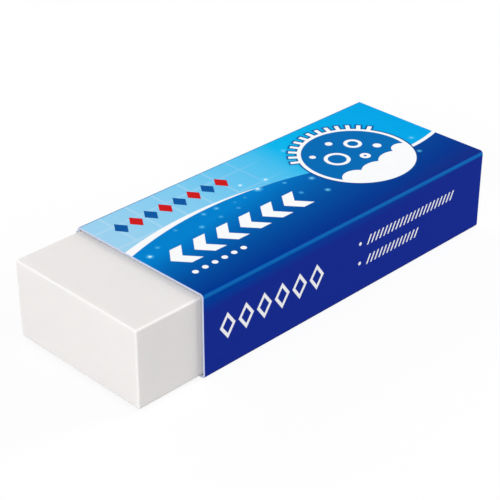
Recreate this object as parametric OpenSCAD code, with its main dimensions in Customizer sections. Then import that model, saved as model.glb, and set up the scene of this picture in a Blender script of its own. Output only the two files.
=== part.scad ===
// Plastic eraser: a soft vinyl block in a printed card sleeve.
//
// X runs along the block, with its bare end at -X. Y runs across it, with the
// plain side of the sleeve at -Y and its glued lap at +Y. Z is up, and the
// sleeve's underside lies at Z = 0. All sizes are in millimetres.

/* [Block] */
// Length of the block
block_l = 62; // [52:1:75]
// Width of the block
block_w = 22; // [18:1:30]
// Height of the block
block_h = 11; // [8:0.5:16]
// Radius of the block's softened edges and corners
edge_r = 0.35; // [0.2:0.05:1]

/* [Sleeve] */
// Length of block that stands bare in front of the sleeve
bare_l = 10; // [4:0.5:18]
// Distance by which the sleeve reaches past the block's rear end
rear_overhang = 0.4; // [0:0.1:2]
// Thickness of the card
card_t = 0.3; // [0.2:0.05:0.5]
// Running gap between the block and the card, on each side
fit_gap = 0.1; // [0.05:0.05:0.3]
// Inside radius of each fold in the card
fold_r = 0.2; // [0.1:0.05:0.3]
// Distance from the outer panel's raw edge up to the fold above it
lap_reveal = 0.3; // [0.1:0.1:2]
// Distance from the glue flap's free end down to the fold below it
flap_reveal = 0.1; // [0.1:0.1:3]

/* [Printed fields] */
// Thickness of an ink film on the card
ink_t = 0.03; // [0.02:0.01:0.06]
// Depth of the sky field, from the lapped side to the crown of the great arc below it
sky_w = 8; // [6:0.1:10]
// Distance from the sleeve's front edge to the crown of the great arc
swoosh_u = 15.3; // [8:0.1:20]
// Distance from the badge's centre line down to where the great arc passes behind it
swoosh_drop = 2.65; // [2:0.05:5]
// Distance by which the white crescent's outer arc stands back from the great arc
crescent_back = 2.6; // [1:0.1:4]
// Distance by which the white crescent's outer arc stands above the great arc
crescent_rise = 0.55; // [0.3:0.05:1.5]
// Depth of the bright blue belt below the great arc
belt_w = 8.5; // [4:0.5:12]
// Radius of the white tail's lower arc, behind the badge
tail_r = 25; // [20:0.5:35]
// Distance from the badge's centre back to the lowest point of the tail
tail_u = 7.1; // [2:0.1:9]
// Distance from the badge's centre line down to the lowest point of the tail
tail_drop = 3.8; // [2:0.05:5]
// Width of the tail
tail_w = 0.6; // [0.3:0.05:1.5]

/* [Printed badge] */
// Outer radius of the badge's white ring
badge_r = 8.1; // [6:0.1:9]
// Width of the badge's white ring
ring_w = 0.55; // [0.3:0.05:1.2]
// Distance from the sleeve's rear edge to the badge's centre
badge_u = 13.1; // [11:0.1:16]
// Number of rays round the badge's far half
ray_n = 13; // [5:1:19]
// Length of a ray
ray_l = 1.2; // [0.6:0.1:1.8]
// Width of a ray
ray_w = 0.6; // [0.3:0.05:1]

/* [Printed marks] */
// Distance from the sleeve's front edge to each row of marks
mark_start = 2.6; // [1:0.1:5]
// Height of a bold chevron on the dark field
chevron_h = 4; // [2:0.25:5]
// Width of a chevron's stroke along the sleeve
chevron_w = 1.9; // [0.8:0.1:2.5]
// Distance from one chevron to the next
chevron_pitch = 3.9; // [3:0.1:4.5]
// Distance from the belt's lower crown up to the chevrons
chevron_rise = 0.1; // [0.1:0.1:1.5]
// Clear distance from the chevrons to the badge
chevron_clear = 4.5; // [2:0.5:8]
// Number of dots under the chevrons
dot_n = 6; // [3:1:12]
// Radius of a dot
dot_r = 0.4; // [0.2:0.05:0.6]
// Distance from one dot to the next
dot_pitch = 1.6; // [1.3:0.1:2]
// Height of the dots in the strip under the chevrons, as a share of its width
dot_share = 0.68; // [0.4:0.02:0.8]
// Height of a small lozenge on the sky field
lozenge_h = 2.8; // [1.5:0.1:3.5]
// Width of a small lozenge
lozenge_w = 2; // [1:0.1:2.2]
// Distance from one small lozenge to the next
lozenge_pitch = 2.45; // [2.3:0.05:3]
// Distance from the lapped side's face to the middle of the small lozenges
lozenge_v = 4.2; // [3:0.1:5]
// Clear distance from the small lozenges to the badge
lozenge_clear = 7.5; // [4:0.5:12]

/* [Printed side] */
// Height of an open lozenge on the plain side
link_h = 3.7; // [2:0.1:5]
// Width of an open lozenge
link_w = 2.6; // [1.6:0.1:3]
// Width of an open lozenge's stroke
link_stroke = 0.5; // [0.2:0.05:0.7]
// Distance from one open lozenge to the next
link_pitch = 3.1; // [3:0.1:3.6]
// Clear distance from the open lozenges to the two rows of strokes
link_clear = 6; // [3:0.5:10]
// Distance from the sleeve's rear edge to the start of the two rows of strokes
hatch_u = 24.9; // [22:0.1:26]
// Length of the upper row of strokes
hatch_long = 17.8; // [10:0.2:20]
// Length of the lower row of strokes
hatch_short = 10.6; // [6:0.2:18]
// Height of a stroke
hatch_h = 1.3; // [0.8:0.1:1.8]
// Width of a stroke
hatch_w = 0.28; // [0.15:0.01:0.4]
// Distance from one stroke to the next
hatch_pitch = 0.8; // [0.6:0.05:0.8]
// Distance between the middles of the two rows
hatch_gap = 2.9; // [2:0.1:3.5]
// Radius of the dot that starts each row
bullet_r = 0.25; // [0.1:0.05:0.4]

/* [Hidden] */
$fn = 64;

// The sleeve round the block: one card thickness on the plain side, two at the lap
fold_out = fold_r + card_t;
sleeve_l = block_l - bare_l + rear_overhang;
sleeve_w = block_w + 2 * fit_gap + 3 * card_t;
sleeve_h = block_h + 2 * fit_gap + 2 * card_t;

// Where the faces lie
front_x = -(block_l + rear_overhang) / 2;
sleeve_x = front_x + bare_l;
plain_y = -sleeve_w / 2;
lap_y = sleeve_w / 2;
flap_y = lap_y - card_t;
card_inside = card_t + fit_gap;

// The printed top, measured from the sleeve's front edge and from the plain side
top_w = flap_y - plain_y;
badge_at = [sleeve_l - badge_u, top_w / 2];
disc_r = badge_r - ring_w;
ray_span = 60;

// The great arc: its crown, and its radius from the point where it passes behind the badge
crown = [swoosh_u, top_w - sky_w];
arc_run = badge_at.x - crown.x;
arc_fall = crown.y - (badge_at.y - swoosh_drop);
swoosh_r = (arc_run * arc_run + arc_fall * arc_fall) / (2 * arc_fall);

// The rows of marks: each stops a clear distance before what lies behind it
marks_end = badge_at.x - badge_r;
chevron_low = crown.y - belt_w + chevron_rise;
chevron_v = chevron_low + chevron_h / 2;
chevron_point = chevron_h * 0.4;
dot_v = fold_out + (chevron_low - fold_out) * dot_share;
hatch_start = sleeve_l - hatch_u;
hatch_lean = hatch_h * 0.25;
link_hole_w = link_w - 2 * link_stroke;
side_mid = sleeve_h / 2;

// The badge's motif, as [along, across, radius] in shares of its disc's radius
suds = [[-0.62, -0.62, 0.3], [-0.12, -0.76, 0.4], [0.4, -0.7, 0.4], [0.8, -0.42, 0.22]];
bubbles = [[-0.36, 0.14, 0.24], [0.3, 0.36, 0.17], [0.1, -0.12, 0.1]];
beads = [[-0.02, 0.66, 0.07], [0.56, 0, 0.08], [-0.62, 0.5, 0.06]];
bubble_wall = 0.07;

// A box with rounded edges and corners, its lowest corner at the origin
module rounded_box(size, r) {
    inner = size - 2 * [r, r, r];
    translate([r, r, r]) {
        translate([0, 0, -r]) cube([inner.x, inner.y, size.z]);
        translate([0, -r, 0]) cube([inner.x, size.y, inner.z]);
        translate([-r, 0, 0]) cube([size.x, inner.y, inner.z]);
        for (x = [0, inner.x], y = [0, inner.y]) translate([x, y, 0]) cylinder(r = r, h = inner.z);
        for (x = [0, inner.x], z = [0, inner.z])
            translate([x, 0, z]) rotate([-90, 0, 0]) cylinder(r = r, h = inner.y);
        for (y = [0, inner.y], z = [0, inner.z])
            translate([0, y, z]) rotate([0, 90, 0]) cylinder(r = r, h = inner.x);
        for (x = [0, inner.x], y = [0, inner.y], z = [0, inner.z]) translate([x, y, z]) sphere(r = r);
    }
}

// A rectangle from its lowest corner to its highest
module panel(low, high) {
    translate(low) square(high - low);
}

// A quarter of a ring about a fold's centre, in the quadrant that side = [+-1, +-1] names
module quarter_ring(centre, side, inner, thick) {
    outer = inner + thick;
    translate(centre) intersection() {
        difference() {
            circle(r = outer);
            circle(r = inner);
        }
        panel([min(side.x, 0), min(side.y, 0)] * outer, [max(side.x, 0), max(side.y, 0)] * outer);
    }
}

// The four folds: the centre of each, and the quadrant that it fills
plain_low = [plain_y + fold_out, fold_out];
plain_high = [plain_y + fold_out, sleeve_h - fold_out];
flap_high = [flap_y - fold_out, sleeve_h - fold_out];
lap_low = [lap_y - fold_out, fold_out];

// The folded strip seen from its end. It runs from the glue flap's free end, up the lapped
// side, over the top, down the plain side, along the underside and up over the flap.
module strip_section() {
    panel([flap_y - card_t, fold_out + flap_reveal], [flap_y, sleeve_h - fold_out]);
    quarter_ring(flap_high, [1, 1], fold_r, card_t);
    panel([plain_high.x, sleeve_h - card_t], [flap_high.x, sleeve_h]);
    quarter_ring(plain_high, [-1, 1], fold_r, card_t);
    panel([plain_y, fold_out], [plain_y + card_t, sleeve_h - fold_out]);
    quarter_ring(plain_low, [-1, -1], fold_r, card_t);
    panel([plain_low.x, 0], [lap_low.x, card_t]);
    quarter_ring(lap_low, [1, -1], fold_r, card_t);
    panel([flap_y, fold_out], [lap_y, sleeve_h - fold_out - lap_reveal]);
}

// Draws a section through the sleeve along its whole length
module along_sleeve() {
    translate([sleeve_x, 0, 0]) rotate([90, 0, 90]) linear_extrude(sleeve_l) children();
}

// Lays an ink film on the sleeve's top
module on_top() {
    translate([sleeve_x, plain_y, sleeve_h]) linear_extrude(ink_t) intersection() {
        panel([0, fold_out], [sleeve_l, top_w - fold_out]);
        children();
    }
}

// Lays an ink film on the sleeve's plain side
module on_side() {
    translate([sleeve_x, plain_y, 0]) rotate([90, 0, 0]) linear_extrude(ink_t) intersection() {
        panel([0, fold_out], [sleeve_l, sleeve_h - fold_out]);
        children();
    }
}

// How many steps of one pitch fit between two distances
function fill(from, to, pitch) = floor((to - from) / pitch);

// Repeats a mark along a row; keep = [first, step] picks which of them are drawn
module row(start, n, pitch, keep = [0, 1]) {
    for (i = [keep[0] : keep[1] : n - 1]) translate(start + [i * pitch, 0]) children();
}

module lozenge(w, h) {
    polygon([[0, 0], [w / 2, -h / 2], [w, 0], [w / 2, h / 2]]);
}

module chevrons() {
    n = fill(mark_start, marks_end - chevron_clear, chevron_pitch);
    row([mark_start, chevron_v], n, chevron_pitch) polygon([
        [0, 0], [chevron_point, -chevron_h / 2], [chevron_point + chevron_w, -chevron_h / 2],
        [chevron_w, 0], [chevron_point + chevron_w, chevron_h / 2], [chevron_point, chevron_h / 2]
    ]);
}

module dots() {
    row([mark_start + dot_r, dot_v], dot_n, dot_pitch) circle(r = dot_r);
}

// The small lozenges: every second one, from the first or from the next
module lozenges(first) {
    n = fill(mark_start, marks_end - lozenge_clear, lozenge_pitch);
    row([mark_start, top_w - lozenge_v], n, lozenge_pitch, [first, 2]) lozenge(lozenge_w, lozenge_h);
}

module links() {
    n = fill(mark_start, hatch_start - link_clear, link_pitch);
    row([mark_start, side_mid], n, link_pitch) difference() {
        lozenge(link_w, link_h);
        translate([link_stroke, 0]) lozenge(link_hole_w, link_h * link_hole_w / link_w);
    }
}

// A dot and a row of fine slanted strokes
module hatch(length, v) {
    translate([hatch_start, v]) circle(r = bullet_r);
    row([hatch_start + 2 * hatch_pitch, v], fill(0, length, hatch_pitch), hatch_pitch) polygon([
        [-hatch_lean, -hatch_h / 2], [hatch_w - hatch_lean, -hatch_h / 2],
        [hatch_w + hatch_lean, hatch_h / 2], [hatch_lean, hatch_h / 2]
    ]);
}

// The great arc's disc, and the one whose rim is the white crescent's far edge
module swoosh(back = 0, rise = 0, inset = 0) {
    translate(crown + [-back, rise - swoosh_r]) circle(r = swoosh_r - inset);
}

module crescent() {
    difference() {
        swoosh(crescent_back, crescent_rise);
        swoosh();
    }
}

// The half of the top behind the badge's centre
module behind_badge() {
    panel([badge_at.x, 0], [sleeve_l, top_w]);
}

// The disc whose rim is the tail's lower arc, or its upper arc when inset by the tail's width
module tail_disc(inset = 0) {
    translate(badge_at + [tail_u, tail_r - tail_drop]) circle(r = tail_r - inset);
}

module tail() {
    intersection() {
        difference() {
            tail_disc();
            tail_disc(tail_w);
        }
        behind_badge();
    }
}

// Everything above the great arc in front of the badge, and above the tail behind it
module sky() {
    difference() {
        panel([0, 0], [badge_at.x, top_w]);
        swoosh();
        swoosh(crescent_back, crescent_rise);
    }
    intersection() {
        tail_disc(tail_w);
        behind_badge();
    }
}

module belt() {
    difference() {
        swoosh();
        swoosh(inset = belt_w);
    }
}

module rays() {
    step = 2 * ray_span / (ray_n - 1);
    translate(badge_at) for (a = [90 - ray_span : step : 90 + ray_span + step / 2])
        rotate(a) panel([badge_r - ring_w / 2, -ray_w / 2], [badge_r + ray_l, ray_w / 2]);
}

// The ground that the badge takes from the fields under it
module badge_ground() {
    translate(badge_at) circle(r = badge_r);
    rays();
}

// The white motif in the badge: suds along the bottom, with bubbles and beads above
module badge_motif() {
    translate(badge_at) intersection() {
        circle(r = disc_r);
        union() {
            for (s = suds) translate([s[0], s[1]] * disc_r) circle(r = s[2] * disc_r);
            for (b = bubbles) translate([b[0], b[1]] * disc_r) difference() {
                circle(r = b[2] * disc_r);
                circle(r = (b[2] - bubble_wall) * disc_r);
            }
            for (b = beads) translate([b[0], b[1]] * disc_r) circle(r = b[2] * disc_r);
        }
    }
}

module badge_ring() {
    rays();
    translate(badge_at) difference() {
        circle(r = badge_r);
        circle(r = disc_r);
    }
}

module block() {
    color("whitesmoke") translate([front_x, plain_y + card_inside, card_inside])
        rounded_box([block_l, block_w, block_h], edge_r);
}

module sleeve() {
    color("midnightblue") along_sleeve() strip_section();
}

module print_sky() {
    color("skyblue") on_top() difference() {
        sky();
        badge_ground();
        lozenges(0);
        lozenges(1);
    }
}

module print_blue() {
    color("mediumblue") on_top() difference() {
        belt();
        badge_ground();
        chevrons();
        dots();
    }
}

module print_white() {
    color("white") {
        on_top() {
            difference() {
                union() {
                    crescent();
                    tail();
                    chevrons();
                    dots();
                }
                badge_ground();
                lozenges(0);
                lozenges(1);
            }
            badge_ring();
            badge_motif();
        }
        on_side() {
            links();
            hatch(hatch_long, side_mid + hatch_gap / 2);
            hatch(hatch_short, side_mid - hatch_gap / 2);
        }
    }
}

module print_azure() {
    color("dodgerblue") {
        on_top() {
            difference() {
                translate(badge_at) circle(r = disc_r);
                badge_motif();
            }
            difference() {
                lozenges(0);
                badge_ground();
            }
        }
        along_sleeve() {
            quarter_ring(plain_high, [-1, 1], fold_out, ink_t);
            quarter_ring(flap_high, [1, 1], fold_out, ink_t);
        }
    }
}

module print_red() {
    color("red") on_top() difference() {
        lozenges(1);
        badge_ground();
    }
}

block();
sleeve();
print_sky();
print_blue();
print_white();
print_azure();
print_red();
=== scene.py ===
import math
from collections import namedtuple

import bpy
from mathutils import Matrix, Vector, noise

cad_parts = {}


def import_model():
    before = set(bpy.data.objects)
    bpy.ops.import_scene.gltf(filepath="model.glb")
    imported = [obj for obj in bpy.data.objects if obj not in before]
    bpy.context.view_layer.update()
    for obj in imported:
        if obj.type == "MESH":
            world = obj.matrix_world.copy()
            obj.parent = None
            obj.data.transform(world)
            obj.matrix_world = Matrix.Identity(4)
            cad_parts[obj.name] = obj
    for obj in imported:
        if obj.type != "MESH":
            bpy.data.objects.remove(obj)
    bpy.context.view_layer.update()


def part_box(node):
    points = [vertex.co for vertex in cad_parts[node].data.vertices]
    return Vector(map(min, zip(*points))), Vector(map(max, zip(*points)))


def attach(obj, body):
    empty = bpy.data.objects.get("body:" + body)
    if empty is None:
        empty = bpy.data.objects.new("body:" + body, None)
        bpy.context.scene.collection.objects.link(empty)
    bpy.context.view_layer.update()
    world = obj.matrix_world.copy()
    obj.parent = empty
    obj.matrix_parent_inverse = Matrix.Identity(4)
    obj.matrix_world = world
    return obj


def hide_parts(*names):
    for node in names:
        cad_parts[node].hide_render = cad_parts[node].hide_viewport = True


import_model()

# A vinyl eraser block in a printed card sleeve. X runs along the block from its bare end, Y
# runs from the sleeve's plain side to its lapped side, and Z is up. Two pieces replace the
# solids: the block, and the sleeve, whose print is painted by nodes from the sizes below.

MM = 0.001

# -------------------------------------------------------- sizes of the pieces, in mm

# What the frame says of the block and of the sleeve
BLOCK_LOW, BLOCK_HIGH = (Vector(corner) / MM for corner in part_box("block"))
SLEEVE_LOW, SLEEVE_HIGH = (Vector(corner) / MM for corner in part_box("sleeve"))

EDGE_R = 0.35            # radius of the block's rounded edges
CARD_T = 0.3             # thickness of the card
FOLD_R = 0.2             # inside radius of a fold
LAP_REVEAL = 0.3         # from the outer panel's raw edge up to the fold
FLAP_REVEAL = 0.1        # from the glue flap's free end down to the fold
GLUE_GAP = 0.015         # from the plane of the glue to the flap, and to the panel over it
BEVEL = 0.03             # the softened rims of the card's cut edges

FOLD_OUT = FOLD_R + CARD_T
FOLD_LENGTH = FOLD_OUT * math.pi / 2
SLEEVE_L = SLEEVE_HIGH.x - SLEEVE_LOW.x
SLEEVE_H = SLEEVE_HIGH.z - SLEEVE_LOW.z
TOP_W = SLEEVE_HIGH.y - CARD_T - SLEEVE_LOW.y   # the top, up to the plane of the glue

# How finely the meshes are divided
STATION_STEP = 0.9       # between the rows of points on a flat face
CARD_MARGIN = 0.12       # from a panel's end to its first row
BLOCK_MARGIN = 0.15      # from a rounded edge to the first row on the block
EDGE_STEPS = 5           # over each half of a rounded edge
FOLD_STEPS = 8           # over a fold

# How far the block's faces are off flat
SINK = 0.03              # at the middle of a face
RIPPLE = 0.012           # the most that the unevenness adds
RIPPLE_PITCH = 0.16      # ripples a mm

# How far the sleeve's panels bow in to hug the block between their folds
BOW = 0.045              # at the middle of a panel
BOW_RIPPLE = 0.02        # the most that the unevenness adds or takes
BOW_PITCH = (0.11, 0.13)  # ripples a mm along and round the sleeve
BOW_SLICE = 3.7          # the slice of the noise that is used
BOW_ROUNDNESS = 0.7      # under 1, the bow is full over most of the panel
END_LIFT = 0.55          # the share of the bow that is lost at the sleeve's two ends
END_REACH = 3.0          # and the distance from an end over which that fades

# ------------------------------------------------- the print's layout, in mm

# The arcs, the tail, the badge and the rows have part.scad's sizes. The badge's outline, the
# painted highlight and shade along the folds, the fades, the grid and the sparkles are only
# here.

# The badge: a ring round a disc, with rays round its far half and a dark outline
BADGE_U = 13.1           # from the sleeve's rear edge to the badge's centre
BADGE_R = 8.1            # outer radius of the ring
RING_W = 0.55
RAY_STEP = 10            # degrees from one ray to the next
RAY_SPAN = 60            # degrees of rays on each side of the badge's far point
RAY_L = 1.2
RAY_W = 0.6
OUTLINE_W = 0.25
OUTLINE_SOFT = 0.15      # how far the outline's edge fades to each side
DISC_R = BADGE_R - RING_W
BADGE = (SLEEVE_L - BADGE_U, TOP_W / 2)

# The badge's motif, as (along, across, radius) in shares of the disc's radius
SUDS = ((-0.62, -0.62, 0.3), (-0.12, -0.76, 0.4), (0.4, -0.7, 0.4), (0.8, -0.42, 0.22))
BUBBLES = ((-0.36, 0.14, 0.24), (0.3, 0.36, 0.17), (0.1, -0.12, 0.1))
BEADS = ((-0.02, 0.66, 0.07), (0.56, 0.0, 0.08), (-0.62, 0.5, 0.06))
BUBBLE_WALL = 0.07

# The great arc between the dark field and the sky field, with its white crescent. On the
# print, up is from the plain side towards the lapped side.
SKY_W = 8.0              # depth of the sky field, from the lapped side to the arc's crown
SWOOSH_U = 15.3          # from the sleeve's front edge to the crown
SWOOSH_DROP = 2.65       # from the badge's centre line down to where the arc passes behind it
CRESCENT_BACK = 2.6      # from the great arc to the crescent's outer one, towards the front
CRESCENT_RISE = 0.55     # and upwards
CROWN = (SWOOSH_U, TOP_W - SKY_W)
ARC_RUN = BADGE[0] - CROWN[0]
ARC_FALL = CROWN[1] - (BADGE[1] - SWOOSH_DROP)
ARC_R = (ARC_RUN ** 2 + ARC_FALL ** 2) / (2 * ARC_FALL)

# The white tail behind the badge
TAIL_R = 25              # radius of its lower arc
TAIL_W = 0.6
TAIL_U = 7.1             # from the badge's centre to the tail's lowest point, to the rear
TAIL_DROP = 3.8          # from the badge's centre line down to that point
TAIL_CENTRE = (BADGE[0] + TAIL_U, BADGE[1] + TAIL_R - TAIL_DROP)

# The rows of marks on the top
MARK_START = 2.6         # from the sleeve's front edge to each row, and to the open lozenges
BELT_W = 8.5             # from the arc's crown down to the strip below the chevrons
CHEVRON_N = 6
CHEVRON_PITCH = 3.9
CHEVRON_H = 4.0
CHEVRON_W = 1.9          # width of the stroke along the sleeve
CHEVRON_RISE = 0.1       # from that strip up to the chevrons
CHEVRON_POINT = CHEVRON_H * 0.4   # how far its middle stands ahead of its two ends
CHEVRON_LOW = CROWN[1] - BELT_W + CHEVRON_RISE
CHEVRON_V = CHEVRON_LOW + CHEVRON_H / 2
DOT_N = 6
DOT_PITCH = 1.6
DOT_R = 0.4
DOT_SHARE = 0.68         # the dots' height in the strip, as a share of its width
DOT_V = FOLD_OUT + (CHEVRON_LOW - FOLD_OUT) * DOT_SHARE
LOZENGE_N = 8
LOZENGE_PITCH = 2.45
LOZENGE_H = 2.8
LOZENGE_W = 2.0
LOZENGE_IN = 4.2         # from the lapped side to the middle of the row
LOZENGE_V = TOP_W - LOZENGE_IN

# The open lozenges and the two rows of strokes on the plain side
LINK_N = 6
LINK_PITCH = 3.1
LINK_H = 3.7
LINK_W = 2.6
LINK_STROKE = 0.5
HATCH_U = 24.9           # from the sleeve's rear edge to the start of both rows
HATCH_START = SLEEVE_L - HATCH_U
HATCH_LONG_N = 22
HATCH_SHORT_N = 13
HATCH_PITCH = 0.8
HATCH_H = 1.3
HATCH_W = 0.28
HATCH_LEAN = HATCH_H * 0.25   # from a stroke's middle to its top, along the sleeve
HATCH_GAP = 2.9          # between the middles of the two rows
BULLET_R = 0.25          # the dot that each row of strokes starts with

# A painted highlight along the near upper fold and a painted shade line along the far one, in
# one blue, measured round the sleeve from where the top starts
NEAR_FOLD_HIGHLIGHT = (-0.9, -0.42)                 # from its low edge to its high one
FAR_FOLD_SHADE_START = TOP_W - 2 * FOLD_OUT + 0.05   # just past where the top ends
FOLD_SOFT = 0.1          # how far its edges fade to each side

# The dark field brightens towards the great arc, and less so along the sleeve
FADE_DEPTH = 5.0         # it starts this far down the plain side
FADE_POWER = 1.5
FADE_FRONT = 1.53        # its gain at the sleeve's front edge
FADE_LOSS = 0.0195       # what it loses for each mm along the sleeve
FADE_FULL = 88           # where it is full, in mm to that power

# The faint grid on the sky field, along the sleeve and across it
GRID_PITCH = (4.4, 4.5)
GRID_START = (3.0, 15.0)     # where one of its lines lies
GRID_W = 0.3
GRID_END = 30            # no line shows past this distance along the sleeve
GRID_FADE = 10           # the lines fade out over the last stretch before it
GRID_STRENGTH = 0.15

# Soft sparkles on the top, as (along, across, radius, strength)
SPARKLES = (
    (1.5, 10.9, 0.6, 1.0), (3.6, 11.9, 0.45, 0.55), (8.0, 13.5, 0.4, 0.5),
    (10.9, 11.8, 0.5, 0.7), (13.3, 14.0, 0.45, 0.7), (14.4, 12.0, 0.4, 0.55),
    (15.5, 14.0, 0.5, 0.75), (17.6, 12.1, 0.4, 0.5), (18.3, 13.5, 0.35, 0.3),
    (20.1, 13.5, 0.35, 0.3), (22.9, 14.0, 0.85, 1.0), (22.0, 16.3, 0.8, 1.0),
    (25.5, 15.1, 0.8, 1.0), (26.6, 12.7, 0.4, 0.65), (26.2, 9.3, 0.45, 0.6),
    (28.1, 13.6, 0.4, 0.5), (30.1, 11.1, 0.6, 0.8), (29.2, 7.4, 0.55, 0.78),
    (33.2, 19.3, 0.6, 0.75), (48.7, 9.6, 0.6, 0.75), (46.3, 6.2, 0.5, 0.7),
)
WHITE_HEART = 0.545      # a sparkle turns from blue to white above this strength

# ------------------------------------------------------------------- colours


def shade(red, green, blue):
    """The linear colour of an sRGB one that is given in steps of 1/255."""
    def linear(step):
        value = step / 255
        return value / 12.92 if value <= 0.04045 else ((value + 0.055) / 1.055) ** 2.4

    return (linear(red), linear(green), linear(blue), 1.0)


BLACK = shade(0, 0, 0)
WHITE_INK = shade(252, 253, 255)
SPARKLE = shade(92, 208, 255)
AZURE = shade(3, 108, 182)
OUTLINE = shade(0, 69, 145)
# The blue of the painted highlight on the near fold and of the painted shade on the far fold
FOLD_SHADING_BLUE = shade(15, 102, 180)
LOZENGE_BLUE = shade(10, 89, 162)
LOZENGE_RED = shade(207, 27, 29)
CUT_PALE = shade(202, 209, 228)
CUT_DARK = shade(164, 175, 204)
BOARD_PALE = shade(226, 224, 219)
BOARD_DARK = shade(196, 192, 184)
VINYL_PALE = shade(234, 231, 230)
VINYL_DARK = shade(230, 227, 226)
VINYL_SPECK = shade(203, 200, 197)
# The painted highlight along the block's rounded edges
VINYL_EDGE_HIGHLIGHT = shade(249, 247, 246)

# The fades, as (place from 0 to 1, colour)
DARK_STOPS = (
    (0.08, shade(14, 46, 134)), (0.16, shade(0, 55, 144)), (0.43, shade(0, 80, 161)),
    (0.72, shade(0, 104, 184)), (1.0, shade(0, 130, 207)),
)
# Painted light: the plain side's dark field, written lighter than the top's to offset its shade
SIDE_STOPS_BRIGHTENED = ((0.05, shade(24, 46, 149)), (0.11, shade(3, 64, 160)))
SKY_STOPS = (
    (0.0, shade(160, 213, 242)), (0.31, shade(127, 205, 243)), (0.54, shade(78, 194, 241)),
    (0.63, shade(10, 184, 239)), (0.72, shade(2, 178, 235)), (0.87, shade(1, 170, 235)),
    (1.0, shade(0, 165, 232)),
)

# ------------------------------------------------------- fields over a surface

SOFT_EDGE = 0.03         # how far an ink's edge fades to each side, in mm


class Field:
    """A number that varies over a surface: a node socket with arithmetic."""

    def __init__(self, tree, socket):
        self.tree = tree
        self.socket = socket

    def apply(self, operation, *others, clamp=False):
        node = self.tree.nodes.new("ShaderNodeMath")
        node.operation = operation
        node.use_clamp = clamp
        for entry, value in zip(node.inputs, (self, *others)):
            if isinstance(value, Field):
                self.tree.links.new(value.socket, entry)
            else:
                entry.default_value = value
        return Field(self.tree, node.outputs[0])

    def __add__(self, other):
        return self.apply("ADD", other)

    def __sub__(self, other):
        return self.apply("SUBTRACT", other)

    def __rsub__(self, other):
        return self.apply("MULTIPLY_ADD", -1.0, other)

    def __mul__(self, other):
        return self.apply("MULTIPLY", other)

    def __neg__(self):
        return self * -1.0

    def __abs__(self):
        return self.apply("ABSOLUTE")

    def power(self, exponent):
        return self.apply("POWER", exponent)

    def at_least(self, other):
        return self.apply("MAXIMUM", other)

    def at_most(self, other):
        return self.apply("MINIMUM", other)

    def repeat(self, step):
        """The rest that is left after whole steps, from 0 up to one step."""
        return self.apply("FLOORED_MODULO", step)

    def rise(self, start, full):
        """0 at start and 1 at full, even between them and level past them."""
        gain = 1 / (full - start)
        return self.apply("MULTIPLY_ADD", gain, -start * gain, clamp=True)

    def spread(self, low, high):
        """The field's 0 to 1, spread from low to high."""
        return self.apply("MULTIPLY_ADD", high - low, low)


def both(*distances):
    """The distance field of what lies in every shape."""
    found = distances[0]
    for other in distances[1:]:
        found = found.at_least(other)
    return found


def either(*distances):
    """The distance field of what lies in any of the shapes."""
    found = distances[0]
    for other in distances[1:]:
        found = found.at_most(other)
    return found


def within(value, low, high):
    """The distance field of the band from low to high."""
    return abs(value - (low + high) / 2) - (high - low) / 2


def cover(distance, soft=SOFT_EDGE):
    """How much of the ink lies at a point, from its distance to the shape's edge."""
    return distance.rise(soft, -soft)


class Sheet:
    """The node tree of one material, with the pieces that the painting uses."""

    def __init__(self, name, **settings):
        self.material = bpy.data.materials.new(name)
        self.material.use_nodes = True
        self.tree = self.material.node_tree
        self.surface = self.tree.nodes["Principled BSDF"]
        for label, value in settings.items():
            self.surface.inputs[label.replace("_", " ")].default_value = value

    def new(self, kind, **settings):
        node = self.tree.nodes.new(kind)
        for label, value in settings.items():
            setattr(node, label, value)
        return node

    def link(self, source, target):
        self.tree.links.new(source.socket if isinstance(source, Field) else source, target)

    def field(self, socket):
        return Field(self.tree, socket)

    def point(self, along, across):
        node = self.new("ShaderNodeCombineXYZ")
        self.link(along, node.inputs["X"])
        self.link(across, node.inputs["Y"])
        return node.outputs[0]

    def distance(self, point, centre):
        node = self.new("ShaderNodeVectorMath", operation="DISTANCE")
        self.link(point, node.inputs[0])
        node.inputs[1].default_value = (*centre, 0.0)
        return self.field(node.outputs["Value"])

    def noise(self, ripples, detail=2.0, roughness=0.5, stretch=(1.0, 1.0, 1.0)):
        """A noise field in the piece's own coordinates, with so many ripples a metre."""
        coordinates = self.new("ShaderNodeTexCoord")
        mapping = self.new("ShaderNodeMapping")
        mapping.inputs["Scale"].default_value = stretch
        node = self.new("ShaderNodeTexNoise")
        self.link(coordinates.outputs["Object"], mapping.inputs["Vector"])
        self.link(mapping.outputs[0], node.inputs["Vector"])
        node.inputs["Scale"].default_value = ripples
        node.inputs["Detail"].default_value = detail
        node.inputs["Roughness"].default_value = roughness
        return self.field(node.outputs["Fac"])

    def ramp(self, value, stops):
        """The colour that a fade has where the value is its place."""
        node = self.new("ShaderNodeValToRGB")
        elements = node.color_ramp.elements
        while len(elements) < len(stops):
            elements.new(0.5)
        for element, (position, colour) in zip(elements, stops):
            element.position = position
            element.color = colour
        self.link(value, node.inputs[0])
        return node.outputs["Color"]

    def paint(self, under, colour, amount):
        """The colour under, with another laid over it where amount says."""
        node = self.new("ShaderNodeMix", data_type="RGBA")
        self.link(amount, node.inputs["Factor"])
        for entry, value in ((node.inputs["A"], under), (node.inputs["B"], colour)):
            if isinstance(value, tuple):
                entry.default_value = value
            else:
                self.link(value, entry)
        return node.outputs["Result"]

    def relief(self, height, depth):
        """A bump of so many metres where the height field goes from 0 to 1."""
        node = self.new("ShaderNodeBump")
        node.inputs["Distance"].default_value = depth
        self.link(height, node.inputs["Height"])
        self.link(node.outputs["Normal"], self.surface.inputs["Normal"])


# ------------------------------------------------------- the print's shapes


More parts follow.
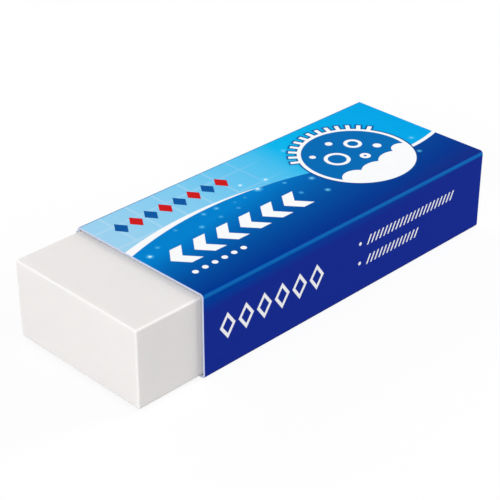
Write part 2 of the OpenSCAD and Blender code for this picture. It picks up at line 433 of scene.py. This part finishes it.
class Place:
    """Where a point lies on the print: the fields that its shapes are drawn from, in mm.

    The print's own map gives the distance along the sleeve from its front edge, and the one
    round it from where the top starts, as Strip measures it. Across the top counts from the
    plain side, and the height on the plain side counts from the underside.
    """

    def __init__(self, sheet):
        parts = sheet.new("ShaderNodeSeparateXYZ")
        sheet.link(sheet.new("ShaderNodeUVMap", uv_map="print").outputs["UV"], parts.inputs[0])
        self.along = sheet.field(parts.outputs["X"])
        self.round = sheet.field(parts.outputs["Y"])
        self.across = self.round + FOLD_OUT
        self.height = self.round + (SLEEVE_H - FOLD_OUT + FOLD_LENGTH)
        self.point = sheet.point(self.along, self.across)
        self.from_badge = sheet.distance(self.point, BADGE)
        # The distance fields of three halves of the print
        self.before_badge = self.along - BADGE[0]
        self.behind_badge = -self.before_badge
        self.on_top = -self.round


def circle(sheet, point, centre, radius):
    return sheet.distance(point, centre) - radius


def lozenge(along, across, width, height):
    """A lozenge that starts at along = 0 and has its middle at across = 0."""
    slope = math.hypot(width, height) / 2
    reach = abs(along - width / 2) * (height / 2 / slope) + abs(across) * (width / 2 / slope)
    return reach - width * height / 4 / slope


def row(along, start, pitch, width, count):
    """The place along one mark of a row, and the distance field of the whole row."""
    gap = pitch - width
    run = along - (start - gap / 2)
    return run.repeat(pitch) - gap / 2, within(run, 0, count * pitch)


def chevrons(place):
    width = CHEVRON_W + CHEVRON_POINT
    cell, span = row(place.along, MARK_START, CHEVRON_PITCH, width, CHEVRON_N)
    middle = abs(place.across - CHEVRON_V)
    slant = cell - middle * (CHEVRON_POINT / (CHEVRON_H / 2))
    return both(within(slant, 0, CHEVRON_W), middle - CHEVRON_H / 2, span)


def dots(sheet, place):
    cell, span = row(place.along, MARK_START, DOT_PITCH, 2 * DOT_R, DOT_N)
    dot = circle(sheet, sheet.point(cell, place.across), (DOT_R, DOT_V), DOT_R)
    return both(dot, span)


def lozenges(place):
    """The row on the sky field, and the field that tells its red lozenges from the blue."""
    cell, span = row(place.along, MARK_START, LOZENGE_PITCH, LOZENGE_W, LOZENGE_N)
    shape = lozenge(cell, place.across - LOZENGE_V, LOZENGE_W, LOZENGE_H)
    gap = LOZENGE_PITCH - LOZENGE_W
    pair = (place.along - (MARK_START - gap / 2)).repeat(2 * LOZENGE_PITCH)
    return both(shape, span), LOZENGE_PITCH - pair


def links(place):
    cell, span = row(place.along, MARK_START, LINK_PITCH, LINK_W, LINK_N)
    level = place.height - SLEEVE_H / 2
    hole_w = LINK_W - 2 * LINK_STROKE
    outside = lozenge(cell, level, LINK_W, LINK_H)
    hole = lozenge(cell - LINK_STROKE, level, hole_w, LINK_H * hole_w / LINK_W)
    return both(outside, -hole, span)


def hatch(sheet, place, count, middle):
    """A dot and a row of fine slanted strokes."""
    level = place.height - middle
    upright = place.along - level * (HATCH_LEAN / (HATCH_H / 2))
    cell, span = row(upright, HATCH_START + 2 * HATCH_PITCH, HATCH_PITCH, HATCH_W, count)
    strokes = both(within(cell, 0, HATCH_W), abs(level) - HATCH_H / 2, span)
    point = sheet.point(place.along, place.height)
    return either(strokes, circle(sheet, point, (HATCH_START, middle), BULLET_R))


def great_arc(sheet, place, back=0.0, rise=0.0):
    """The disc under the great arc, or under one further to the front and higher."""
    centre = (CROWN[0] - back, CROWN[1] + rise - ARC_R)
    return circle(sheet, place.point, centre, ARC_R)


def rays(place):
    """The short rays over the badge's far half."""
    turn = (place.across - BADGE[1]).apply("ARCTAN2", place.along - BADGE[0])
    step = math.radians(RAY_STEP)
    first = math.radians(90 - RAY_SPAN) - step / 2
    last = math.radians(90 + RAY_SPAN) + step / 2
    held = turn.at_least(first).at_most(last)
    offset = abs((held - first).repeat(step) - step / 2) + abs(turn - held)
    across_ray = place.from_badge * offset - RAY_W / 2
    return both(across_ray, within(place.from_badge, BADGE_R - RING_W / 2, BADGE_R + RAY_L))


def spot(sheet, place, mark, grow=0.0):
    """One of the motif's circles, given in shares of the disc's radius."""
    along, across, radius = mark
    centre = (BADGE[0] + along * DISC_R, BADGE[1] + across * DISC_R)
    return circle(sheet, place.point, centre, (radius + grow) * DISC_R)


def motif(sheet, place):
    """Suds along the bottom of the badge's disc, with bubbles and beads above."""
    suds = [spot(sheet, place, mark) for mark in SUDS]
    beads = [spot(sheet, place, mark) for mark in BEADS]
    bubbles = []
    for mark in BUBBLES:
        middle_of_wall = spot(sheet, place, mark, -BUBBLE_WALL / 2)
        bubbles.append(abs(middle_of_wall) - BUBBLE_WALL / 2 * DISC_R)
    inside_ring = place.from_badge - (DISC_R + RING_W / 2)
    return both(either(*suds, *beads, *bubbles), inside_ring)


def sparkle_glow(sheet, place):
    """How strongly the soft sparkles glow: 1 at the heart of a bright one."""
    glows = []
    for along, across, radius, strength in SPARKLES:
        reach = sheet.distance(place.point, (along, across))
        glows.append(reach.rise(radius, 0) * strength)
    return both(*glows)


def faint_grid(place):
    """The pale lines on the sky field, which fade out towards the badge."""
    lines = []
    for position, start, pitch in zip((place.along, place.across), GRID_START, GRID_PITCH):
        lines.append(abs((position - (start - pitch / 2)).repeat(pitch) - pitch / 2))
    fade = place.along.rise(GRID_END, GRID_END - GRID_FADE)
    return cover(either(*lines) - GRID_W / 2, GRID_W / 2) * fade * GRID_STRENGTH


# --------------------------------------------- the print, from its lowest ink up


def dark_field(sheet, place):
    """The dark field's colour on the top, and on the plain side past the near fold.

    On the side it is painted lighter than on the top, to offset the shade that falls there.
    """
    reach = (place.round + FADE_DEPTH).at_least(0.0).power(FADE_POWER)
    level = reach * (FADE_FRONT - place.along * FADE_LOSS) * (1 / FADE_FULL)
    on_side = place.round - sum(NEAR_FOLD_HIGHLIGHT) / 2
    return sheet.paint(
        sheet.ramp(level, DARK_STOPS), sheet.ramp(level, SIDE_STOPS_BRIGHTENED), cover(on_side))


def sky_field(sheet, place, colour):
    """Lays the sky field, the white crescent and the white tail over the dark field."""
    arc = great_arc(sheet, place)
    far_arc = great_arc(sheet, place, CRESCENT_BACK, CRESCENT_RISE)
    tail_reach = sheet.distance(place.point, TAIL_CENTRE)
    sky_before = both(-arc, -far_arc, place.before_badge)
    sky_behind = both(tail_reach - (TAIL_R - TAIL_W), place.behind_badge)
    sky = both(either(sky_before, sky_behind), place.on_top)
    sky_colour = sheet.ramp(place.along * (1 / SLEEVE_L), SKY_STOPS)
    sky_colour = sheet.paint(sky_colour, WHITE_INK, faint_grid(place))
    colour = sheet.paint(colour, sky_colour, cover(sky))

    crescent = both(far_arc, -arc, place.before_badge)
    tail = both(within(tail_reach, TAIL_R - TAIL_W, TAIL_R), place.behind_badge)
    white = both(either(crescent, tail), place.on_top)
    return sheet.paint(colour, WHITE_INK, cover(white))


def sparkles(sheet, place, colour):
    """Lays the soft sparkles: blue, with a white heart in the strong ones."""
    glow = sparkle_glow(sheet, place)
    colour = sheet.paint(colour, SPARKLE, glow)
    return sheet.paint(colour, WHITE_INK, glow.rise(WHITE_HEART, 1.0))


def badge_ground(sheet, place, fan, colour):
    """Lays the dark outline of the badge and its rays, and the azure disc."""
    ground = either(fan, place.from_badge - BADGE_R)
    colour = sheet.paint(colour, OUTLINE, cover(ground - OUTLINE_W, OUTLINE_SOFT))
    return sheet.paint(colour, AZURE, cover(place.from_badge - DISC_R))


def coloured_marks_and_fold_shading(sheet, place, colour):
    """Lays the blue and red lozenges, and the painted highlight and shade along the upper folds.
    """
    marks, red = lozenges(place)
    colour = sheet.paint(colour, LOZENGE_BLUE, cover(marks))
    colour = sheet.paint(colour, LOZENGE_RED, cover(both(marks, red)))
    far_fold_shade = -place.round + FAR_FOLD_SHADE_START
    folds = either(within(place.round, *NEAR_FOLD_HIGHLIGHT), far_fold_shade)
    return sheet.paint(colour, FOLD_SHADING_BLUE, cover(folds, FOLD_SOFT))


def white_marks(sheet, place, fan, colour):
    """Lays all that is white on the badge and in the rows of marks."""
    side_middle = SLEEVE_H / 2
    white = either(
        fan,
        within(place.from_badge, DISC_R, BADGE_R),
        motif(sheet, place),
        chevrons(place),
        dots(sheet, place),
        links(place),
        hatch(sheet, place, HATCH_LONG_N, side_middle + HATCH_GAP / 2),
        hatch(sheet, place, HATCH_SHORT_N, side_middle - HATCH_GAP / 2),
    )
    return sheet.paint(colour, WHITE_INK, cover(white))


def print_colour(sheet):
    """The colour of the whole print, each ink over the ones before, with its painted light and
    shade.
    """
    place = Place(sheet)
    fan = rays(place)
    colour = dark_field(sheet, place)
    colour = sky_field(sheet, place, colour)
    colour = sparkles(sheet, place, colour)
    colour = badge_ground(sheet, place, fan, colour)
    colour = coloured_marks_and_fold_shading(sheet, place, colour)
    return white_marks(sheet, place, fan, colour)


# ---------------------------------------------------------------- materials

# The sleeve's three materials, in the order of its slots
PRINTED, CUT, INSIDE = range(3)

MOTTLE_STRENGTH = 0.035  # how far the ink's unevenness darkens it, at the most
EDGE_HIGHLIGHT_POWER = 2.0    # over 1, the painted highlight keeps to the ridge of a rounded edge


def printed_card():
    """Ink on smooth card, a little uneven, under a thin dull varnish."""
    sheet = Sheet("printed_card", Specular_IOR_Level=0.006)
    mottle = sheet.noise(ripples=900, detail=3.0)
    darkening = mottle.rise(start=0.3, full=1.0) * MOTTLE_STRENGTH
    ink = sheet.paint(print_colour(sheet), BLACK, darkening)
    sheet.link(ink, sheet.surface.inputs["Base Color"])
    sheet.link(mottle.spread(low=0.36, high=0.48), sheet.surface.inputs["Roughness"])
    sheet.relief(sheet.noise(ripples=2600, detail=3.0), depth=0.000004)
    return sheet.material


def cut_edge():
    """The card's cut edges: fine fibres, with a breath of blue from the print."""
    sheet = Sheet("cut_edge", Specular_IOR_Level=0.2, Roughness=0.85)
    fibres = sheet.noise(ripples=9000, detail=3.0)
    colour = sheet.paint(CUT_PALE, CUT_DARK, fibres)
    sheet.link(colour, sheet.surface.inputs["Base Color"])
    sheet.relief(fibres, depth=0.00001)
    return sheet.material


def card_inside():
    """The bare board inside the sleeve, with fibres that run along it."""
    sheet = Sheet("card_inside", Specular_IOR_Level=0.15, Roughness=0.9)
    fibres = sheet.noise(ripples=1800, detail=5.0, roughness=0.7, stretch=(0.35, 1.0, 1.0))
    colour = sheet.paint(BOARD_PALE, BOARD_DARK, fibres)
    sheet.link(colour, sheet.surface.inputs["Base Color"])
    sheet.relief(fibres, depth=0.00001)
    return sheet.material


def vinyl():
    """Soft white vinyl: faint clouds, sparse specks, a painted edge highlight and a fine grain.
    """
    sheet = Sheet(
        "vinyl", Specular_IOR_Level=0.35, Subsurface_Weight=0.25, Subsurface_Scale=0.0012,
        Subsurface_Radius=(1.0, 0.85, 0.7),
    )
    clouds = sheet.noise(ripples=160, detail=3.0)
    specks = sheet.noise(ripples=7000, detail=1.0).rise(start=0.733, full=0.844)
    edge = sheet.field(sheet.new("ShaderNodeAttribute", attribute_name="edge").outputs["Fac"])
    colour = sheet.paint(VINYL_PALE, VINYL_DARK, clouds)
    colour = sheet.paint(colour, VINYL_SPECK, specks)
    # A painted highlight on the ridges of the rounded edges, from each point's share on an edge
    colour = sheet.paint(colour, VINYL_EDGE_HIGHLIGHT, edge.power(EDGE_HIGHLIGHT_POWER))
    sheet.link(colour, sheet.surface.inputs["Base Color"])
    gloss = sheet.noise(ripples=420, detail=2.0)
    sheet.link(gloss.spread(low=0.42, high=0.56), sheet.surface.inputs["Roughness"])
    grain = sheet.noise(ripples=2200, detail=4.0, roughness=0.6, stretch=(0.4, 1.0, 1.0))
    sheet.relief(grain, depth=0.000012)
    return sheet.material


# --------------------------------------------------------- maps for a bake

# On the sleeve's map the stretches stand side by side. Each has its left edge, its width,
# and what runs across it and up it, all in shares from 0 to 1.
ALONG, ROUND, DEPTH = range(3)
BAKE_EDGE = 0.004
STRETCHES = {
    "outside": (BAKE_EDGE, 0.656, ALONG, ROUND),
    "inside": (0.666, 0.280, ALONG, ROUND),
    "front": (0.952, 0.008, DEPTH, ROUND),
    "rear": (0.966, 0.008, DEPTH, ROUND),
    "panel_end": (0.980, 0.006, DEPTH, ALONG),
    "flap_end": (0.990, 0.006, DEPTH, ALONG),
}

# On the block's map its six sides lie flat, this many mm apart. The long sides lie one above
# the other and the two ends beside them. For each axis that a pair of sides looks along, these
# are the axes that run across the map and up it.
X, Y, Z = range(3)
SIDE_GAP = 0.4
SIDE_AXES = ((Z, Y), (X, Z), (X, Y))


def sleeve_spot(stretch, mark):
    """Where a point of the sleeve lies on its map; mark is along, round and deep in it."""
    left, width, across, up = STRETCHES[stretch]
    return left + width * mark[across], BAKE_EDGE + (1 - 2 * BAKE_EDGE) * mark[up]


def block_spot(axis, end, point):
    """Where a point on one side of the block lies on the block's map."""
    size = BLOCK_HIGH - BLOCK_LOW
    broad_step = size.y + SIDE_GAP
    narrow_step = size.z + SIDE_GAP
    if axis == X:
        start = (size.x + SIDE_GAP, end * broad_step)
    elif axis == Y:
        start = (0, 2 * broad_step + end * narrow_step)
    else:
        start = (0, end * broad_step)
    span = size.x + size.z + 3 * SIDE_GAP
    local = point - BLOCK_LOW
    across, up = SIDE_AXES[axis]
    return (SIDE_GAP + start[0] + local[across]) / span, (SIDE_GAP + start[1] + local[up]) / span


def lay_out(mesh, name, spots):
    """Adds a UV map; spots has a place for each corner of each face, in their order."""
    flat = [part for spot_on_map in spots for part in spot_on_map]
    mesh.uv_layers.new(name=name).data.foreach_set("uv", flat)


# ------------------------------------------------------------------- meshes


def stations(low, high, margin):
    """Places from low to high, about a step apart, with one close to each end."""
    inner_l = high - low - 2 * margin
    count = max(2, round(inner_l / STATION_STEP))
    inner = [low + margin + inner_l * i / count for i in range(count + 1)]
    return [low, *inner, high]


def make_object(name, points, faces, materials, body):
    """A smooth mesh piece in the frame; points are in mm."""
    mesh = bpy.data.meshes.new(name)
    mesh.from_pydata([Vector(point) * MM for point in points], [], faces)
    for material in materials:
        mesh.materials.append(material)
    for face in mesh.polygons:
        face.use_smooth = True
    piece = bpy.data.objects.new(name, mesh)
    bpy.context.collection.objects.link(piece)
    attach(piece, body)
    return piece


# ---------------------------------------------------------------- the block


def block_axis(low, high):
    """Places along one side of the block: close over each rounded edge, wide between."""
    edge = [EDGE_R * i / EDGE_STEPS for i in range(EDGE_STEPS)]
    middle = stations(low + EDGE_R, high - EDGE_R, BLOCK_MARGIN)
    return [low + part for part in edge] + middle + [high - part for part in reversed(edge)]


def block_point(point):
    """A point of the box's skin with rounded edges, and how far it lies on such an edge.

    The broad faces are sunk a little, as the soft block's are when it leaves its mould.
    """
    bounds = list(zip(point, BLOCK_LOW, BLOCK_HIGH))
    heart = Vector(min(max(at, low + EDGE_R), high - EDGE_R) for at, low, high in bounds)
    away = (point - heart).normalized()
    shares = [(at - low) / (high - low) for at, low, high in zip(heart, BLOCK_LOW, BLOCK_HIGH)]
    sunk = 0.0
    for axis in (X, Y, Z):
        domes = [4 * share * (1 - share) for i, share in enumerate(shares) if i != axis]
        sunk += abs(away[axis]) * math.sqrt(domes[0]) * math.sqrt(domes[1])
    ripple = 0.5 + 0.5 * noise.noise(point * RIPPLE_PITCH)
    edge = (1 - max(abs(part) for part in away)) / (1 - math.sqrt(0.5))
    return heart + away * (EDGE_R - SINK * sunk - RIPPLE * ripple), min(edge, 1.0)


def side_rings(axes):
    """The faces of the six sides: the axis each looks along, its end, and its four places."""
    for axis in (X, Y, Z):
        second, third = (axis + 1) % 3, (axis + 2) % 3
        for end in (0, 1):
            for j in range(len(axes[second]) - 1):
                for k in range(len(axes[third]) - 1):
                    ring = []
                    for place_j, place_k in ((j, k), (j + 1, k), (j + 1, k + 1), (j, k + 1)):
                        place = [0, 0, 0]
                        place[axis] = end * (len(axes[axis]) - 1)
                        place[second] = place_j
                        place[third] = place_k
                        ring.append(tuple(place))
                    yield axis, end, ring if end else ring[::-1]


def block_piece():
    """The vinyl block: a box of six grids that share their rims."""
    axes = [block_axis(low, high) for low, high in zip(BLOCK_LOW, BLOCK_HIGH)]
    points = []
    edges = []
    faces = []
    spots = []
    index = {}

    def corner_at(place):
        return Vector(axis[k] for axis, k in zip(axes, place))

    def vertex(place):
        if place not in index:
            index[place] = len(points)
            point, edge = block_point(corner_at(place))
            points.append(point)
            edges.append(edge)
        return index[place]

    for axis, end, ring in side_rings(axes):
        faces.append([vertex(place) for place in ring])
        spots += [block_spot(axis, end, corner_at(place)) for place in ring]
    piece = make_object("eraser_block", points, faces, [vinyl()], "block")
    # Each point's share on a rounded edge, where the vinyl paints its highlight
    piece.data.attributes.new("edge", "FLOAT", "POINT").data.foreach_set("value", edges)
    lay_out(piece.data, "OFBake", spots)
    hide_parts("block")


# --------------------------------------------------------------- the sleeve

# A place on the card's section, where a row of points runs along the sleeve: its distance
# round the sleeve, its point on the outside, its outward normal, the card's thickness, and
# the share of the bow that it takes
Station = namedtuple("Station", "place point normal thick slack")


class Strip:
    """The folded card's section, as its stations from the outer panel's raw edge to the flap.

    The distance round the sleeve is 0 where the top meets the fold to the plain side. It
    grows over the top to the glue flap, and falls down the plain side to the outer panel.
    """

    def __init__(self):
        self.stations = []
        low_y, high_y = SLEEVE_LOW.y, SLEEVE_HIGH.y
        low_z, high_z = SLEEVE_LOW.z, SLEEVE_HIGH.z
        flap_y = high_y - CARD_T - GLUE_GAP
        raw_z = high_z - FOLD_OUT - LAP_REVEAL
        panel_l = raw_z - low_z - FOLD_OUT
        under_l = high_y - low_y - 2 * FOLD_OUT
        side_l = high_z - low_z - 2 * FOLD_OUT
        top_l = flap_y - low_y - 2 * FOLD_OUT
        flap_l = side_l - FLAP_REVEAL
        low_fold = low_z + FOLD_OUT
        high_fold = high_z - FOLD_OUT
        plain_fold = low_y + FOLD_OUT
        lap_fold = high_y - FOLD_OUT
        self.at = -(panel_l + under_l + side_l + 3 * FOLD_LENGTH)
        # In turn the outer panel, the underside, the plain side, the top and the glue flap
        self.panel((high_y, raw_z), (high_y, low_fold), (1, 0), CARD_T - GLUE_GAP)
        self.fold((lap_fold, low_fold), 0)
        self.panel((lap_fold, low_z), (plain_fold, low_z), (0, -1))
        self.fold((plain_fold, low_fold), -90)
        self.panel((low_y, low_fold), (low_y, high_fold), (-1, 0))
        self.fold((plain_fold, high_fold), -180)
        self.panel((plain_fold, high_z), (plain_fold + top_l, high_z), (0, 1))
        self.fold((flap_y - FOLD_OUT, high_fold), -270)
        self.panel((flap_y, high_fold), (flap_y, high_fold - flap_l), (1, 0))

    def add(self, y, z, normal, thick, slack):
        point = Vector((0, y, z))
        self.stations.append(Station(self.at, point, Vector((0, *normal)), thick, slack))

    def panel(self, begin, end, normal, thick=CARD_T):
        """A flat panel; its slack is 0 at its ends and 1 in its middle."""
        length = math.dist(begin, end)
        first = self.at
        for place in stations(0, length, CARD_MARGIN):
            part = place / length
            y, z = (a + (b - a) * part for a, b in zip(begin, end))
            self.at = first + place
            self.add(y, z, normal, thick, math.sin(math.pi * part) ** BOW_ROUNDNESS)

    def fold(self, centre, turn):
        """A quarter bend: the normal turns clockwise from the given angle, in degrees."""
        first = self.at
        for i in range(1, FOLD_STEPS):
            angle = math.radians(turn - 90 * i / FOLD_STEPS)
            normal = (math.cos(angle), math.sin(angle))
            self.at = first + FOLD_LENGTH * i / FOLD_STEPS
            y = centre[0] + FOLD_OUT * normal[0]
            z = centre[1] + FOLD_OUT * normal[1]
            self.add(y, z, normal, CARD_T, 0.0)
        self.at = first + FOLD_LENGTH


def bow(along, station):
    """How far a panel lies inside its flat, in mm."""
    draw = Vector((along * BOW_PITCH[0], station.place * BOW_PITCH[1], BOW_SLICE))
    from_end = min(along, SLEEVE_L - along)
    lift = math.exp(-from_end / END_REACH)
    full = BOW + BOW_RIPPLE * noise.noise(draw)
    return station.slack * full * (1 - END_LIFT * lift)


class CardMesh:
    """The card as it is built: its points, and its faces with their material and map place."""

    def __init__(self, strip):
        self.begin = strip[0].place
        self.length = strip[-1].place - strip[0].place
        self.points = []
        self.marks = []
        self.faces = []
        self.kinds = []
        self.spots = []

    def vertex(self, station, along, depth):
        """A new point at a station; its depth is 0 on the card's outside and 1 inside."""
        inward = bow(along, station) + depth * station.thick
        start = Vector((SLEEVE_LOW.x + along, 0, 0))
        self.points.append(start + station.point - station.normal * inward)
        self.marks.append((along, station.place, depth))
        return len(self.points) - 1

    def rim(self, strip, along):
        """The two rows of points that soften the rims of a cut edge."""
        skin = BEVEL / CARD_T
        return [
            (self.vertex(station, along, skin), self.vertex(station, along, 1 - skin))
            for station in strip]

    def quad(self, kind, stretch, ring, flip=False):
        """A new face of one of the sleeve's materials, laid out in one stretch of its map."""
        ring = ring[::-1] if flip else ring
        self.faces.append(ring)
        self.kinds.append(kind)
        for corner in ring:
            along, place, depth = self.marks[corner]
            mark = (along / SLEEVE_L, (place - self.begin) / self.length, depth)
            self.spots.append(sleeve_spot(stretch, mark))

    def broad_faces(self, outer, inner):
        """The printed outside and the bare inside, from their rows of points."""
        for i in range(len(outer) - 1):
            for j in range(len(outer[i]) - 1):
                self.quad(
                    PRINTED, "outside",
                    (outer[i][j], outer[i][j + 1], outer[i + 1][j + 1], outer[i + 1][j]))
                self.quad(
                    INSIDE, "inside",
                    (inner[i][j], inner[i + 1][j], inner[i + 1][j + 1], inner[i][j + 1]))

    def open_end(self, stretch, columns, flip):
        """The cut edge round one end of the sleeve; a column runs from outside to inside."""
        for near, far in zip(columns, columns[1:]):
            for a in range(len(near) - 1):
                self.quad(CUT, stretch, (near[a], far[a], far[a + 1], near[a + 1]), flip)

    def strip_end(self, stretch, outer_row, inner_row, front, rear, flip):
        """The cut edge along one end of the strip, with the front and rear columns there."""
        for j in range(len(outer_row) - 1):
            ring = (outer_row[j], inner_row[j], inner_row[j + 1], outer_row[j + 1])
            self.quad(CUT, stretch, ring, flip)
        self.quad(CUT, stretch, front, flip)
        self.quad(CUT, stretch, rear, not flip)


def folded_card():
    """The mesh of one strip of card, folded four times and lapped on itself."""
    strip = Strip().stations
    card = CardMesh(strip)
    across = stations(BEVEL, SLEEVE_L - BEVEL, CARD_MARGIN)
    outer = [[card.vertex(station, along, 0) for along in across] for station in strip]
    inner = [[card.vertex(station, along, 1) for along in across] for station in strip]
    front_rim = card.rim(strip, 0)
    rear_rim = card.rim(strip, SLEEVE_L)
    front = [(out[0], *rim, back[0]) for out, rim, back in zip(outer, front_rim, inner)]
    rear = [(out[-1], *rim, back[-1]) for out, rim, back in zip(outer, rear_rim, inner)]
    card.broad_faces(outer, inner)
    card.open_end("front", front, flip=False)
    card.open_end("rear", rear, flip=True)
    card.strip_end("panel_end", outer[0], inner[0], front[0], rear[0], flip=False)
    card.strip_end("flap_end", outer[-1], inner[-1], front[-1], rear[-1], flip=True)
    return card


def sleeve_piece():
    """The printed sleeve, with its print laid out along it and round it in mm."""
    card = folded_card()
    piece = make_object(
        "card_sleeve", card.points, card.faces,
        [printed_card(), cut_edge(), card_inside()], "sleeve")
    mesh = piece.data
    mesh.polygons.foreach_set("material_index", card.kinds)
    lay_out(mesh, "print", [card.marks[loop.vertex_index][:2] for loop in mesh.loops])
    lay_out(mesh, "OFBake", card.spots)
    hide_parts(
        "sleeve", "print_sky", "print_blue", "print_white", "print_azure", "print_red")


# -------------------------------------------------- the stage, in metres

FLOOR_HALF = 0.8         # half the length of the floor's side
FLOOR_DROP = 0.00002     # how far the floor lies under the object
FLOOR_BOUNCE = 0.4       # the floor's grey for the light that it throws back
FLOOR_PALE = 0.99        # its grey as it is seen
FLOOR_GLOW = 0.88        # the share of plain white in it as it is seen; the rest takes shadow
WORLD_LIGHT = 0.31       # the world's strength for the light that it gives

# The camera, from a fit to the corners of the block and the sleeve in the photograph
AZIMUTH = -44.858        # in degrees, like the next two
ELEVATION = 30.380
ROLL = -0.025
FOCAL_PX = 1504.3        # the focal length, for a picture of this many pixels
PICTURE_PX = 500
SENSOR_MM = 36.0
KNOWN_POINT = Vector((-11.2, -11.15, 0.4))      # on the block's lower near edge, in mm
SEEN_AT = Vector((1.431, -11.345, -185.01))     # and how the camera sees it: right, up, back


def seen_directly(tree):
    """1 for camera, glossy and transmission rays, and 0 for the rays that light things."""
    path = tree.nodes.new("ShaderNodeLightPath")
    seen = Field(tree, path.outputs["Is Camera Ray"])
    for label in ("Is Glossy Ray", "Is Transmission Ray"):
        seen = seen.at_least(Field(tree, path.outputs[label]))
    return seen


def grey(level):
    return (level, level, level, 1)


def floor_material():
    """White to the camera but for a soft shadow, and a middling grey to the light."""
    sheet = Sheet("floor", Roughness=1.0, Specular_IOR_Level=0.0)
    seen = seen_directly(sheet.tree)
    tint = sheet.paint(grey(FLOOR_BOUNCE), grey(FLOOR_PALE), seen)
    sheet.link(tint, sheet.surface.inputs["Base Color"])
    glow = sheet.new("ShaderNodeEmission")
    mix = sheet.new("ShaderNodeMixShader")
    sheet.link(seen * FLOOR_GLOW, mix.inputs[0])
    sheet.link(sheet.surface.outputs[0], mix.inputs[1])
    sheet.link(glow.outputs[0], mix.inputs[2])
    sheet.link(mix.outputs[0], sheet.tree.nodes["Material Output"].inputs[0])
    return sheet.material


def floor():
    """A plain pale floor that shows white and keeps a soft shadow of the object."""
    mesh = bpy.data.meshes.new("floor")
    square = [(-1, -1), (1, -1), (1, 1), (-1, 1)]
    points = [(x * FLOOR_HALF, y * FLOOR_HALF, -FLOOR_DROP) for x, y in square]
    mesh.from_pydata(points, [], [(0, 1, 2, 3)])
    mesh.materials.append(floor_material())
    plane = bpy.data.objects.new("floor", mesh)
    bpy.context.collection.objects.link(plane)


def world():
    """An even white surround, dimmer as a light than as a background."""
    scene = bpy.context.scene
    scene.world = bpy.data.worlds.new("studio")
    scene.world.use_nodes = True
    tree = scene.world.node_tree
    sky = tree.nodes["Background"]
    sky.inputs["Color"].default_value = grey(1)
    strength = seen_directly(tree).spread(WORLD_LIGHT, 1.0)
    tree.links.new(strength.socket, sky.inputs["Strength"])


def lamp(name, towards, distance, size, level):
    """A square soft box; level is what it adds to a white face that looks straight at it."""
    light = bpy.data.lights.new(name, "AREA")
    light.shape = "SQUARE"
    light.size = size
    light.energy = level * (math.pi * distance) ** 2
    box = bpy.data.objects.new(name, light)
    direction = Vector(towards).normalized()
    box.location = direction * distance
    box.rotation_euler = direction.to_track_quat("Z", "Y").to_euler()
    bpy.context.collection.objects.link(box)


def camera():
    """A long lens on the photograph's own line of sight."""
    azimuth = math.radians(AZIMUTH)
    elevation = math.radians(ELEVATION)
    back = Vector((
        math.sin(azimuth) * math.cos(elevation),
        -math.cos(azimuth) * math.cos(elevation),
        math.sin(elevation),
    ))
    right = Vector((math.cos(azimuth), math.sin(azimuth), 0))
    up = back.cross(right)
    level = Matrix((right, up, back))
    turned = Matrix.Rotation(-math.radians(ROLL), 3, "Z") @ level
    place = KNOWN_POINT - turned.transposed() @ SEEN_AT
    lens = bpy.data.cameras.new("camera")
    lens.sensor_width = SENSOR_MM
    lens.lens = FOCAL_PX / PICTURE_PX * SENSOR_MM
    lens.clip_start = 0.01
    lens.clip_end = 20
    view = bpy.data.objects.new("camera", lens)
    view.matrix_world = Matrix.Translation(place * MM) @ turned.transposed().to_4x4()
    bpy.context.collection.objects.link(view)
    bpy.context.scene.camera = view


# ------------------------------------------------------------------ the scene

camera()
floor()
world()
lamp("key", towards=(-0.89, -0.28, 0.37), distance=0.7, size=0.45, level=0.86)
lamp("low_rear", towards=(0.863, -0.355, 0.355), distance=0.6, size=0.3, level=0.90)
lamp("fill", towards=(0.1, 0.93, 0.35), distance=0.7, size=0.45, level=0.38)
bpy.context.scene.view_settings.view_transform = "Standard"

block_piece()
sleeve_piece()
